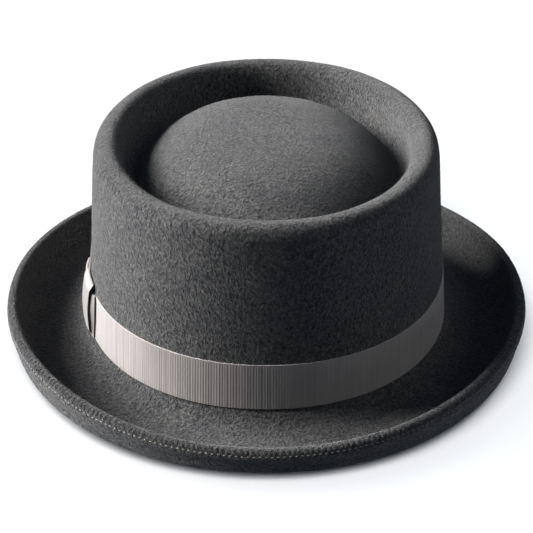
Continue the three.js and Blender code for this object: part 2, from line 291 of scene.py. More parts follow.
def sheet_mesh(name, outer, inner, material):
    """A closed sheet between an outer and an inner grid of points."""
    rows, columns = outer.shape[:2]
    below = rows * columns
    number = np.arange(below).reshape(rows, columns)
    border = np.concatenate([number[0, :], number[1:, -1], number[-1, -2::-1], number[-2:0:-1, 0]])
    following = np.roll(border, -1)
    rim = np.stack([border, border + below, following + below, following], 1)
    faces = [grid_faces(rows, columns), grid_faces(rows, columns, offset=below)[:, ::-1], rim]
    return add_mesh(name, np.concatenate([outer.reshape(-1, 3), inner.reshape(-1, 3)]), faces, material)


def finish_piece(piece, slot, *nodes):
    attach(piece, "root")
    if nodes:
        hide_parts(*nodes)
    return piece


# ---------------- materials
class Nodes:
    """A material's node tree, with short calls to add and join nodes."""

    def __init__(self, name):
        self.material = bpy.data.materials.new(name)
        self.material.use_nodes = True
        self.tree = self.material.node_tree
        self.shader = self.tree.nodes["Principled BSDF"]
        self.place = self.add("ShaderNodeTexCoord").outputs["Object"]

    def add(self, kind, **values):
        node = self.tree.nodes.new(kind)
        for key, value in values.items():
            setattr(node, key, value)
        return node

    def join(self, source, target):
        self.tree.links.new(source, target)

    def set(self, **values):
        for key, value in values.items():
            self.shader.inputs[key.replace("_", " ")].default_value = value

    def stretch(self, scale):
        node = self.add("ShaderNodeMapping")
        node.inputs["Scale"].default_value = scale
        self.join(self.place, node.inputs["Vector"])
        return node.outputs["Vector"]

    def noise(self, scale, detail=3.0, roughness=0.6, vector=None, distortion=0.0):
        node = self.add("ShaderNodeTexNoise")
        node.inputs["Scale"].default_value = scale
        node.inputs["Detail"].default_value = detail
        node.inputs["Roughness"].default_value = roughness
        node.inputs["Distortion"].default_value = distortion
        self.join(vector or self.place, node.inputs["Vector"])
        return node.outputs["Fac"]

    def cells(self, scale, vector, feature="F1"):
        node = self.add("ShaderNodeTexVoronoi", feature=feature)
        node.inputs["Scale"].default_value = scale
        self.join(vector, node.inputs["Vector"])
        return node.outputs["Distance"]

    def math(self, operation, a, b=0.0, clamp=False):
        node = self.add("ShaderNodeMath", operation=operation, use_clamp=clamp)
        for socket, value in zip(node.inputs, (a, b)):
            if isinstance(value, (int, float)):
                socket.default_value = value
            else:
                self.join(value, socket)
        return node.outputs["Value"]

    def line(self, value, slope, start):
        """value * slope + start."""
        return self.math("ADD", self.math("MULTIPLY", value, slope), start)

    def weigh(self, *pairs):
        """The sum of each value times its weight."""
        total = None
        for value, weight in pairs:
            part = self.math("MULTIPLY", value, weight)
            total = part if total is None else self.math("ADD", total, part)
        return total

    def between(self, factor, low, high, margin=0.3):
        """From one colour or grey to another, over the middle of the factor's range."""
        low, high = ((value,) * 3 if isinstance(value, float) else value for value in (low, high))
        return self.ramp(factor, (margin, low), (1 - margin, high))

    def tint(self, colour, by):
        return self.mix(1.0, colour, by, "MULTIPLY")

    def ramp(self, factor, *stops):
        node = self.add("ShaderNodeValToRGB")
        elements = node.color_ramp.elements
        while len(elements) < len(stops):
            elements.new(0.5)
        for element, (position, colour) in zip(elements, stops):
            element.position = position
            element.color = (*colour, 1)
        self.join(factor, node.inputs["Fac"])
        return node.outputs["Color"]

    def mix(self, factor, a, b, blend="MIX"):
        node = self.add("ShaderNodeMix", data_type="RGBA", blend_type=blend)
        for socket, value in ((node.inputs["Factor"], factor), (node.inputs[6], a), (node.inputs[7], b)):
            if isinstance(value, (int, float)):
                socket.default_value = value
            elif isinstance(value, tuple):
                socket.default_value = (*value, 1)
            else:
                self.join(value, socket)
        return node.outputs[2]

    def bump(self, height, distance, strength=1.0, normal=None):
        node = self.add("ShaderNodeBump")
        node.inputs["Strength"].default_value = strength
        node.inputs["Distance"].default_value = distance
        self.join(height, node.inputs["Height"])
        if normal is not None:
            self.join(normal, node.inputs["Normal"])
        return node.outputs["Normal"]

    def finish(self, colour=None, roughness=None, normal=None):
        for name, value in (("Base Color", colour), ("Roughness", roughness), ("Normal", normal)):
            if value is not None:
                self.join(value, self.shader.inputs[name])
        return self.material


def felt_material():
    n = Nodes("felt")
    wisp = n.noise(720, 2, 0.6, n.stretch((1, 1, 0.8)))
    fibre = n.noise(1600, 2, 0.7, n.stretch((1, 1, 0.7)))
    clump = n.noise(360, 2, 0.6)
    cloud = n.noise(80, 3, 0.6)
    tuft = n.math("MULTIPLY", n.cells(800, n.stretch((1, 1, 0.8))), 0.9)
    grain = n.math("ADD", n.weigh((wisp, 0.45), (fibre, 0.3)), 0.262)
    grain = n.math("SUBTRACT", grain, n.math("MULTIPLY", tuft, 0.3))
    base = n.ramp(grain, (0.36, (0.017, 0.017, 0.0173)), (0.5, (0.045, 0.045, 0.0455)),
                  (0.64, (0.094, 0.0937, 0.093)))
    colour = n.tint(base, n.between(cloud, (0.87, 0.87, 0.91), (1.13, 1.12, 1.09), 0.34))
    colour = n.tint(colour, n.between(clump, 0.94, 1.06, 0.36))
    # The attribute lightens the felt where its nap is worn; where it is negative it darkens the brim fold's
    # puckered face, which is painted shade.
    wear_and_painted_shade = n.add("ShaderNodeAttribute", attribute_name="wear_and_painted_shade").outputs["Fac"]
    colour = n.mix(n.math("MULTIPLY", wear_and_painted_shade, 0.4, clamp=True), colour, (0.15, 0.148, 0.144))
    colour = n.mix(n.math("MULTIPLY", wear_and_painted_shade, -0.55, clamp=True), colour, (0.010, 0.010, 0.011))
    relief = n.weigh((clump, 0.45), (wisp, 1.0))
    relief = n.math("SUBTRACT", relief, n.math("MULTIPLY", tuft, 0.28))
    normal = n.bump(fibre, 1.2 * MM, 1.0, n.bump(relief, 2.6 * MM))
    n.set(Sheen_Weight=0.2, Sheen_Roughness=0.4, Sheen_Tint=(0.84, 0.84, 0.86, 1),
          Specular_IOR_Level=0.1)
    return n.finish(colour, n.line(clump, 0.12, 0.86), normal)


def fuzz_material():
    n = Nodes("felt_fibre")
    shade = n.noise(1500, 2, 0.6)
    n.set(Roughness=0.9, Specular_IOR_Level=0.1)
    return n.finish(n.between(shade, (0.045, 0.045, 0.046), (0.11, 0.109, 0.107), 0.35))


def ribbon_material(name, shade):
    n = Nodes(name)
    streak = n.noise(700, 2, 0.7, n.stretch((1, 1, 0.03)))
    fine = n.noise(4200, 2, 0.6, n.stretch((1, 1, 0.25)))
    cloud = n.noise(45, 2, 0.5)
    # shade scales the ribbon's colour; below 1 it is painted shade.
    dark, light = (tuple(shade * value for value in colour)
                   for colour in ((0.164, 0.150, 0.144), (0.190, 0.175, 0.168)))
    colour = n.tint(n.between(streak, dark, light), n.between(fine, 0.9, 1.08))
    colour = n.tint(colour, n.between(cloud, (0.96, 0.96, 0.97), (1.04, 1.035, 1.03)))
    normal = n.bump(fine, 0.03 * MM, 0.6, n.bump(streak, 0.07 * MM, 0.5))
    n.set(Sheen_Weight=0.35, Sheen_Roughness=0.4, Sheen_Tint=(1, 0.95, 0.93, 1),
          Specular_IOR_Level=0.4)
    return n.finish(colour, n.line(fine, 0.2, 0.4), normal)


def leather_material():
    n = Nodes("leather")
    cells = n.ramp(n.cells(1100, n.place, "DISTANCE_TO_EDGE"), (0.0, (0.0,) * 3), (0.12, (1.0,) * 3))
    pores = n.noise(2600, 3, 0.6)
    crease = n.noise(90, 5, 0.65, n.stretch((1, 1, 2.2)), 0.6)
    base = n.between(crease, (0.036, 0.020, 0.012), (0.085, 0.048, 0.029))
    normal = n.bump(pores, 0.05 * MM, 0.5, n.bump(cells, 0.06 * MM, 0.5))
    normal = n.bump(crease, 0.5 * MM, 0.35, normal)
    n.set(Specular_IOR_Level=0.45)
    return n.finish(n.mix(0.35, base, cells, "MULTIPLY"), n.line(pores, 0.25, 0.34), normal)


def satin_material():
    n = Nodes("satin")
    weft = n.noise(3000, 2, 0.6, n.stretch((0.25, 0.25, 1)))
    slub = n.noise(500, 3, 0.6, n.stretch((0.2, 0.2, 1)))
    base = n.between(slub, (0.088, 0.092, 0.106), (0.135, 0.14, 0.158))
    n.set(Sheen_Weight=0.2, Sheen_Roughness=0.3, Specular_IOR_Level=0.6, Anisotropic=0.5)
    return n.finish(n.tint(base, n.between(weft, 0.88, 1.1)), n.line(weft, 0.15, 0.28),
                    n.bump(weft, 0.03 * MM, 0.7))


def yarn_material(name, scale, stretch, dark, light, roughness, relief, **values):
    """One noise sets colour, roughness and relief: thread, tape and tag."""
    n = Nodes(name)
    yarn = n.noise(scale, 2, 0.6, n.stretch(stretch) if stretch else None)
    n.set(**values)
    return n.finish(n.between(yarn, dark, light), n.line(yarn, 0.2, roughness), n.bump(yarn, relief, 0.8))


def plastic_material():
    n = Nodes("reed_plastic")
    haze = n.noise(300, 2, 0.5)
    return n.finish(n.between(haze, (0.55, 0.53, 0.47), (0.64, 0.62, 0.56)), n.line(haze, 0.1, 0.4))


def wire_material():
    n = Nodes("spring_steel")
    drawn = n.noise(2000, 2, 0.6)
    n.set(Metallic=1.0)
    return n.finish(n.between(drawn, (0.48, 0.48, 0.49), (0.6, 0.6, 0.61)), n.line(drawn, 0.2, 0.3))


felt = felt_material()
fuzz = fuzz_material()
ribbon = ribbon_material("grosgrain", 1.0)
# The bow is the band's grosgrain darkened to 0.68 of its colour: painted shade.
bow_ribbon_painted_shade = ribbon_material("bow_grosgrain_painted_shade", 0.68)
thread = yarn_material("thread", 5200, None, (0.10, 0.092, 0.082), (0.21, 0.195, 0.175), 0.5, 0.05 * MM,
                       Sheen_Weight=0.1, Sheen_Roughness=0.4, Specular_IOR_Level=0.2)
leather = leather_material()
satin = satin_material()
tape = yarn_material("woven_tape", 2600, (1, 1, 0.5), (0.018, 0.018, 0.021), (0.062, 0.062, 0.068), 0.55,
                     0.08 * MM, Sheen_Weight=0.2, Specular_IOR_Level=0.3)
tag = yarn_material("woven_tag", 3800, (1, 1, 0.4), (0.52, 0.5, 0.45), (0.76, 0.74, 0.68), 0.6,
                    0.06 * MM, Specular_IOR_Level=0.3)


# ---------------- felt section
def arc(centre, radius, from_angle, to_angle, steps):
    angle = np.linspace(from_angle, to_angle, steps + 1)
    return np.stack([centre[0] + radius * np.cos(angle), centre[1] + radius * np.sin(angle)], 1)


def bezier(a, b, c, d, steps):
    t = np.linspace(0, 1, steps + 1)[:, None]
    a, b, c, d = (np.array(p, float) for p in (a, b, c, d))
    return (1 - t) ** 3 * a + 3 * (1 - t) ** 2 * t * b + 3 * (1 - t) * t ** 2 * c + t ** 3 * d


def resample(line, spacing):
    along = length_along(line)
    wanted = np.linspace(0, along[-1], max(3, int(round(along[-1] / spacing)) + 1))
    return np.stack([np.interp(wanted, along, line[:, k]) for k in (0, 1)], 1)


def soften(line, spacing, reach):
    """The line, evenly resampled and rounded over that reach. Its ends stay."""
    fine = resample(line, spacing)
    sigma = reach / spacing
    half = int(3 * sigma)
    kernel = np.exp(-0.5 * (np.arange(-half, half + 1) / sigma) ** 2)
    kernel /= kernel.sum()
    start, end = fine[0], fine[-1]
    padded = np.concatenate([2 * start - fine[half:0:-1], fine, 2 * end - fine[-2:-half - 2:-1]])
    return np.stack([np.convolve(padded[:, k], kernel, "valid") for k in (0, 1)], 1)


def normals_2d(line):
    heading = unit(np.gradient(line, axis=0))
    return np.stack([-heading[:, 1], heading[:, 0]], 1)


def edge_point(height, depth):
    """Beside the brim's straight edge: height up from the curl, depth out from the upper face."""
    sin, cos = math.sin(CURL_ANGLE), math.cos(CURL_ANGLE)
    return np.array([
        REST_RING_OUTER + (CURL_RADIUS + depth) * sin + height * cos,
        FELT + CURL_RADIUS - (CURL_RADIUS + depth) * cos + height * sin])


def crown_line():
    """Upper face from the middle of the dome to the start of the brim's curl."""
    rim = np.array([wall_outer(CROWN_TOP_Z - RIM_RADIUS) - RIM_RADIUS, CROWN_TOP_Z - RIM_RADIUS])
    gutter = np.array([rim[0] - RIM_RADIUS - GUTTER_RADIUS, GUTTER_FLOOR_Z + GUTTER_RADIUS])
    share = np.linspace(0, 1, 60)
    dome = np.stack([DOME_HALF_WIDTH * share, DOME_TOP_Z - DOME_DROP * share ** DOME_POWER], 1)
    line = np.concatenate([
        dome,
        arc(gutter, GUTTER_RADIUS, math.radians(225), math.radians(360), 24),
        arc(rim, RIM_RADIUS, math.pi, 0, 40),
        bezier((wall_outer(12 * MM), 12 * MM), (HEAD_HALF_WIDTH, 5.4 * MM),
               (95 * MM, FELT + 0.2 * MM), (REST_RING_INNER, FELT), 24),
        [[REST_RING_OUTER, FELT]],
    ])
    return soften(line, 0.5 * MM, 1.1 * MM)[::2]


def curl_line():
    """Upper face from the curl's start to the foot of the fold."""
    line = np.concatenate([
        arc(CURL_CENTRE, CURL_RADIUS, -math.pi / 2, CURL_TOP, 20),
        [edge_point(EDGE_RISE, 0)]])
    return resample(line, 0.7 * MM)


def fold_line():
    """Over the fold, down the outer face of the turned-under edge and part way round the curl."""
    line = np.concatenate([
        arc(edge_point(EDGE_RISE, FOLD_RADIUS), FOLD_RADIUS, FOLD_START, FOLD_START - math.pi, 30),
        [edge_point(EDGE_RISE - 2 * MM, FLAP_DEPTH + 0.8 * MM)],
        arc(CURL_CENTRE, CURL_RADIUS + FLAP_DEPTH, CURL_TOP, CURL_TOP - FLAP_WRAP + math.radians(2), 8)])
    return soften(line, 0.3 * MM, 0.4 * MM)


def flap_foot():
    """Round the raw edge and back up between the two layers to the wire's tunnel, and over it."""
    inner = FELT + FLAP_GAP
    low = CURL_TOP - FLAP_WRAP
    corner = math.radians(0.7)

    def at(reach, angle):
        return np.array(CURL_CENTRE) + (CURL_RADIUS + reach) * np.array([math.cos(angle), math.sin(angle)])

    return np.concatenate([
        [at(FLAP_DEPTH - 0.15 * MM, low + corner), at(FLAP_DEPTH - 0.6 * MM, low),
         at(inner + 0.5 * MM, low), at(inner + 0.1 * MM, low + corner)],
        arc(CURL_CENTRE, CURL_RADIUS + inner, low + math.radians(3), CURL_TOP, 3),
        [edge_point(EDGE_RISE - 1.5 * MM, inner)],
        arc(edge_point(EDGE_RISE, FOLD_RADIUS), TUNNEL_RADIUS, FOLD_START - math.pi, FOLD_START, 8)])


# ---------------- felt body
def stitch_row(reach=0.0):
    """The sewing row's place in the section, that far outside the fold's outer face."""
    fold = edge_point(EDGE_RISE, FOLD_RADIUS)
    heading = np.array([math.cos(STITCH_ANGLE), math.sin(STITCH_ANGLE)])
    return fold + heading * (FOLD_RADIUS + reach)


def stitch_phase(turns):
    """Position along the stitch row, in stitches, at each turn, and the number of stitches."""
    row = stitch_row()
    fine = np.linspace(turns[0], turns[0] + FULL_TURN, 4001)
    along = length_along(oval(row[0], row[1], fine))
    count = round(along[-1] / STITCH_PITCH)
    return np.interp(turns, fine, along / along[-1] * count), count


def edge_wave():
    return noise_row(EDGE_STATIONS, EDGE_WAVES, EDGE_WAVE_SEED)


def soft_dents(u, z, turns):
    """Slow hand-made unevenness of the felt, along its normal."""
    turns = turns[:, None]
    share = u / BRIM_HALF_WIDTH
    height = z / CROWN_TOP_Z
    wave = (np.sin(3 * turns + 9 * height) * np.sin(2 * turns - 5 * height + 1.3)
            + 0.6 * np.sin(7 * turns + 14 * height + 0.7) * np.sin(11 * height + 2.0)
            + 0.4 * np.sin(13 * turns - 20 * share + 0.4))
    return DENT_HEIGHT * wave * np.clip(share * 3, 0, 1)


def felt_body():
    crown = crown_line()
    curl = curl_line()
    fold = fold_line()
    foot = flap_foot()
    upper = np.concatenate([crown, curl[1:]])
    under = (upper - normals_2d(upper) * FELT)[::-1]
    curl_count = len(curl) - 1
    under_edge = under[1:curl_count + 1]
    under_body = under[curl_count + 1:][::2]
    under_body[-1, 0] = 0

    edge = np.concatenate([curl[1:], fold[1:], foot, under_edge])
    body_turns = full_turns(BODY_STATIONS)
    edge_turns = full_turns(EDGE_STATIONS)

    def rings(line, turns, lift):
        normal = normals_2d(line)
        u = np.maximum(line[:, 0] + lift * normal[:, 0], 0)
        z = line[:, 1] + lift * normal[:, 1]
        return oval(u, z, turns[:, None])

    def dents(line, turns):
        return soft_dents(line[:, 0], line[:, 1], turns) * (line[:, 1] > DENTED_FROM_Z)

    body_upper = crown[1:]
    crease = CREASE_DEPTH * bell(body_upper[:, 1] - BAND_LOW_Z + 0.7 * MM, 0.75 * MM)
    crease = crease * (body_upper[:, 0] > HEAD_HALF_WIDTH - 1 * MM)
    upper_points = rings(body_upper, body_turns, dents(body_upper, body_turns) - crease)
    under_points = rings(under_body[:-1], body_turns, 0)

    # Puckers: the felt swells between the stitches, most between the fold and the row.
    phase, count = stitch_phase(edge_turns)
    local = np.random.default_rng(5)
    knots = np.arange(count + 1)
    strength = np.interp(phase % count, knots, np.append(local.uniform(0.25, 1.35, count), 0.8))
    wobble = np.interp(phase % count, knots, np.append(local.uniform(-0.2, 0.2, count), 0.0))
    pinch = (0.5 - 0.5 * np.cos(FULL_TURN * (phase + wobble))) ** 2.5
    swell = (1 - 2.2 * pinch) * strength
    index = np.arange(len(edge))
    first, last = len(curl) - 1, len(curl) - 1 + len(fold)
    along = length_along(edge)
    row_at = along[first + np.linalg.norm(edge[first:last] - stitch_row(), axis=1).argmin()]
    above = row_at - along
    on_fold = (index >= first - 2) & (index < last)
    swollen = bell(above - PUCKER_ABOVE_ROW, PUCKER_WIDTH) * on_fold
    profile = swollen * PUCKER_HEIGHT
    groove = bell(above, GROOVE_WIDTH) * GROOVE_DEPTH * on_fold
    lift = swell[:, None] * profile - groove * (0.9 + 0.3 * swell[:, None])
    edge_points = rings(edge, edge_turns, lift)
    sway = np.clip((edge[:, 1] - 4 * MM) / (10 * MM), 0, 1)
    edge_points[..., 2] += EDGE_WAVE * edge_wave()[:, None] * sway

    # Rings run outwards over the top, round the edge on a finer ring, and back underneath.
    upper_rings = len(body_upper)
    under_rings = under_points.shape[1]
    edge_rings = edge_points.shape[1]
    points = np.concatenate([ring_rows(upper_points), ring_rows(edge_points), ring_rows(under_points),
                             axis_point(crown[0, 1]), axis_point(under_body[-1, 1])])
    edge_start = upper_rings * BODY_STATIONS
    under_start = edge_start + edge_rings * EDGE_STATIONS
    top_index = under_start + under_rings * BODY_STATIONS

    i = np.arange(BODY_STATIONS)
    j = (i + 1) % BODY_STATIONS

    def step_faces(coarse_start, fine_start, outward):
        fine = [fine_start + (i * EDGE_FACTOR + k) % EDGE_STATIONS for k in range(EDGE_FACTOR + 1)]
        face = np.stack([coarse_start + j, coarse_start + i, *fine], 1)
        return face if outward else face[:, ::-1]

    faces = [
        grid_faces(upper_rings, BODY_STATIONS, wrap_columns=True),
        step_faces(edge_start - BODY_STATIONS, edge_start, True),
        grid_faces(edge_rings, EDGE_STATIONS, wrap_columns=True, offset=edge_start),
        step_faces(under_start, under_start - EDGE_STATIONS, False),
        grid_faces(under_rings, BODY_STATIONS, wrap_columns=True, offset=under_start),
        fan(top_index, i, j),
        fan(top_index + 1, top_index - BODY_STATIONS + j, top_index - BODY_STATIONS + i),
    ]
    piece = add_mesh("felt_hat_body", points, faces, felt)

    # Lighter where the nap is worn, on the rim's roll and the crest of the brim's fold; darker on the fold's
    # outer face just above the stitch row, which is painted shade of the puckers.
    rim_z = CROWN_TOP_Z - 1.5 * MM
    worn_upper = 0.35 * np.clip((body_upper[:, 1] - rim_z) / (1.5 * MM), 0, 1)
    worn_upper = worn_upper * (body_upper[:, 0] > RIM_INNER)
    # The crest term is wear; minus swollen is painted shade over the puckered face.
    edge_wear_and_painted_shade = 0.5 * bell(above - 5.1 * MM, 0.8 * MM) * on_fold - swollen
    wear_and_painted_shade = np.concatenate([np.repeat(worn_upper, BODY_STATIONS), np.repeat(edge_wear_and_painted_shade, EDGE_STATIONS),
                           np.zeros(under_rings * BODY_STATIONS + 2)])
    attribute = piece.data.attributes.new("wear_and_painted_shade", "FLOAT", "POINT")
    attribute.data.foreach_set("value", wear_and_painted_shade.astype(np.float32))
    finish_piece(piece, "felt", "felt_body")


# ---------------- loose fibres
NAP_FIBRES = 150000
EDGE_FIBRES = 45000
FIBRE_WIDTH = 0.05 * MM
FIBRE_ROOT = 0.06 * MM
FIBRE_LEAN = 0.75
FIBRE_LENGTHS = (0.15, 1.3)  # shortest and longest, in millimetres


def felt_nap():
    """Loose fibres standing off the felt, thickest along the rim's roll and the brim's edge."""
    local = np.random.default_rng(31)
    line = np.concatenate([crown_line(), curl_line()[1:], fold_line()[1:]])
    middle = (line[1:] + line[:-1]) / 2
    weight = np.linalg.norm(np.diff(line, axis=0), axis=1) * middle[:, 0]
    on_rim = (middle[:, 1] > CROWN_TOP_Z - 4 * MM) & (middle[:, 0] > RIM_INNER)
    on_edge = (middle[:, 0] > 120 * MM) & (middle[:, 1] > 16.2 * MM)
    extra = weight * (on_rim + on_edge)
    pick = np.concatenate([local.choice(len(weight), NAP_FIBRES, p=weight / weight.sum()),
                           local.choice(len(weight), EDGE_FIBRES, p=extra / extra.sum())])
    count = len(pick)
    t = local.uniform(0, 1, count)[:, None]
    at = line[pick] * (1 - t) + line[pick + 1] * t
    normal = normals_2d(line)[pick]
    turn = local.uniform(0, FULL_TURN, count)

    def place(lift, swing):
        return oval(at[:, 0] + normal[:, 0] * lift, at[:, 1] + normal[:, 1] * lift, turn + swing)

    foot = place(-FIBRE_ROOT, 0)
    up = unit(place(0.6 * MM, 0) - foot)
    lean = local.normal(0, FIBRE_LEAN, (count, 3))
    lean -= up * np.sum(lean * up, axis=1)[:, None]
    reach = local.gamma(3.0, 0.16, count).clip(*FIBRE_LENGTHS)[:, None] * MM
    heading = unit(up * local.uniform(0.3, 1.0, count)[:, None] + lean)
    side = np.cross(heading, local.normal(0, 1, (count, 3)))
    side *= FIBRE_WIDTH / 2 / np.linalg.norm(side, axis=1)[:, None]
    points = np.stack([foot - side, foot + side, foot + heading * reach], 1)
    faces = [np.arange(count * 3).reshape(-1, 3)]
    finish_piece(add_mesh("felt_nap", points, faces, fuzz, smooth=False), "felt")


# ---------------- stitches
def thread_row(name, node, centres, along, outward, half_length, radius, rise):
    """One mesh of short threads, each arched over the felt with its two ends dipping in."""
    t = np.linspace(-1, 1, 9)
    sides = 7
    angle = full_turns(sides)
    side = np.cross(along, outward)
    spine = (centres[:, None, :] + along[:, None, :] * (t * half_length)[:, None]
             + outward[:, None, :] * (rise * (1 - t ** 2) - 0.35 * radius)[:, None])
    girth = radius * np.sqrt(np.clip(1 - 0.85 * t ** 6, 0.05, 1))
    ring = (outward[:, None, None, :] * np.cos(angle)[:, None]
            + side[:, None, None, :] * np.sin(angle)[:, None])
    points = spine[:, :, None, :] + ring * girth[:, None, None]
    wall = grid_faces(len(t), sides, wrap_columns=True)
    caps = np.array([np.arange(sides)[::-1], np.arange(sides) + (len(t) - 1) * sides])
    faces = [part + k * len(t) * sides for k in range(len(centres)) for part in (wall, caps)]
    finish_piece(add_mesh(name, points, faces, thread), "thread", node)


def frames_along(u, z, turns):
    """Centre, heading and outward direction at each turn of that ring."""
    step = 0.001
    centres = oval(u, z, turns)
    ahead = unit(oval(u, z, turns + step) - oval(u, z, turns - step))
    return centres, ahead, np.cross(ahead, UP)


def brim_stitches():
    row = stitch_row(-ROW_SUNK)
    edge_turns = full_turns(EDGE_STATIONS)
    phase, count = stitch_phase(edge_turns)
    turns = np.interp(np.arange(count) + 0.5, phase, edge_turns)
    centres, ahead, outward = frames_along(row[0], row[1], turns)
    centres[:, 2] += EDGE_WAVE * np.interp(turns, edge_turns, edge_wave())
    local = np.random.default_rng(9)
    centres[:, 2] += local.normal(0, 0.07 * MM, count)
    tilt = local.normal(0, 0.06, count)
    ahead = ahead + UP * tilt[:, None]
    thread_row("brim_edge_stitches", "brim_stitching", centres, ahead, outward, *BRIM_THREAD)


# ---------------- ribbon band and bow
def ribbed(phase, share):
    """Height of the ribbon's ribs: rounded across the ribbon, flat at the two woven edges."""
    rib = np.abs(np.sin(math.pi * phase)) ** 0.7
    edge = np.clip(np.minimum(share, 1 - share) / 0.024, 0, 1)
    return rib * edge + 0.6 * (1 - edge)


def hat_band():
    """The band: ribbed across, its two ends meeting under the bow."""
    half_gap = 0.0015
    ribs = round(even_turns(wall_outer(BAND_MID_Z), BAND_MID_Z, 10)[1] / RIB_PITCH)
    turns, _ = even_turns(wall_outer(BAND_MID_Z), BAND_MID_Z, ribs * STATIONS_PER_RIB, BOW_TURN)
    turns[0] += half_gap
    turns = np.append(turns, BOW_TURN + FULL_TURN - half_gap)
    stations = len(turns)
    share_up = np.concatenate([[0, 0.004, 0.012, 0.03, 0.05], np.linspace(0.09, 0.91, 9),
                               [0.95, 0.97, 0.988, 0.996, 1]])
    local = np.random.default_rng(21)
    phase = np.arange(stations) / STATIONS_PER_RIB
    knots = np.arange(ribs + 2)
    strength = np.interp(phase, knots, local.uniform(0.45, 1.35, ribs + 2))
    phase = phase + np.interp(phase, knots, local.uniform(-0.12, 0.12, ribs + 2))
    height = ribbed(phase[:, None], share_up) * strength[:, None]
    z_outer = BAND_LOW_Z + share_up * (BAND_HIGH_Z - BAND_LOW_Z)
    slack = noise_row(stations, (2, 3, 5, 8, 13), 4) * 0.06 * MM
    gap = CLEARANCE * 0.35
    outer_u = wall_outer(z_outer) + gap + RIBBON_CORE + BAND_RIB_HEIGHT * height + slack[:, None]
    lip = 1 - np.clip(np.minimum(share_up, 1 - share_up) / 0.004, 0, 1)
    outer_u -= lip * np.where(share_up < 0.5, 0.32 * MM, 0.10 * MM)
    z_inner = np.linspace(BAND_HIGH_Z, BAND_LOW_Z, 4)
    inner_u = wall_outer(z_inner) + gap + slack[:, None]
    points = np.concatenate([oval(outer_u, z_outer, turns[:, None]),
                             oval(inner_u, z_inner, turns[:, None])], 1)
    points[..., 2] += noise_row(stations, (2, 4, 7), 6)[:, None] * 0.12 * MM
    piece = add_mesh("ribbon_band", points, closed_strip(points), ribbon)
    finish_piece(piece, "ribbon", "hat_band")


def puff(reach):
    """How far a leaf's middle stands off, from 0 at the knot to 1 where it puffs out most."""
    swell = smoothstep(reach, KNOT_HALF_LENGTH - 1 * MM, 22 * MM)
    return swell * (1 - 0.3 * smoothstep(reach, 26 * MM, BOW_HALF_LENGTH))


def bow_leaf(name, node, half_length, high_z, rest_gap, puff_depth, corner_drop, end_tuck, far_sag, seed):
    """A ribbon leaf of the bow: gathered under the knot, puffed beyond it, its upper corners laid back.

    run goes from -1 at the far end to 1 at the near end, and rise from -1 at the lower edge to 1.
    """
    along = np.linspace(-1, 1, 301)
    up = np.concatenate([[-1, -0.985], np.linspace(-0.95, 0.95, 41), [0.985, 1]])
    run, rise = np.meshgrid(along, up, indexing="ij")
    mid_z, half_height = (BOW_LOW_Z + high_z) / 2, (high_z - BOW_LOW_Z) / 2
    waist_half = KNOT_HALF_HEIGHT - 1.2 * MM
    bend = 1 * MM * np.sin(2.1 * rise + seed) * smoothstep(np.abs(run), 0.5, 1)
    reach = np.abs(run) * half_length
    spread = smoothstep(reach, KNOT_HALF_LENGTH + 0.5 * MM, KNOT_HALF_LENGTH + 8 * MM)
    z = (1 - spread) * (BAND_MID_Z + rise * waist_half) + spread * (mid_z + rise * half_height)
    z = z + 0.2 * MM * np.sin(3 * run + seed) * spread
    z = z - far_sag * (rise + 1) / 2 * smoothstep(-run, 0.1, 0.7)
    drop = corner_drop * smoothstep(rise, 0.74, 1) * spread
    lower_tuck = corner_drop * 0.8 * smoothstep(-rise, 0.7, 1) * smoothstep(reach, 24 * MM, half_length)
    tuck = 1 - end_tuck * smoothstep(reach, half_length - 4.2 * MM, half_length + 0.6 * MM)
    pleat = 0.16 * MM * np.cos(rise * 9.5 + 0.5 * np.sin(7 * run + seed)) * spread * (1 - spread) * 4
    ripple = 0.10 * MM * np.sin(5 * run + 2.2 * rise + seed) * spread * (1 - rise ** 2)
    bulge = (1 - rise ** 2) * puff(reach) * np.where(run > 0, 1, 0.3)
    rest = rest_gap * (0.3 + 0.7 * spread * np.where(run > 0, 1, 0.5))
    stand = (rest + puff_depth * bulge) * tuck - np.minimum(drop + lower_tuck, rest) + pleat + ripple
    ribs = BOW_RIB_HEIGHT * ribbed(reach / RIB_PITCH, (rise + 1) / 2)
    base = wall_outer(z) + CLEARANCE + RIBBON + stand
    turn = BOW_TURN + (run * half_length + bend * np.sign(run) * 0.6) / HEAD_HALF_DEPTH
    piece = sheet_mesh(name, oval(base + LEAF_THICKNESS + ribs, z, turn), oval(base, z, turn), bow_ribbon_painted_shade)
    finish_piece(piece, "ribbon", node)


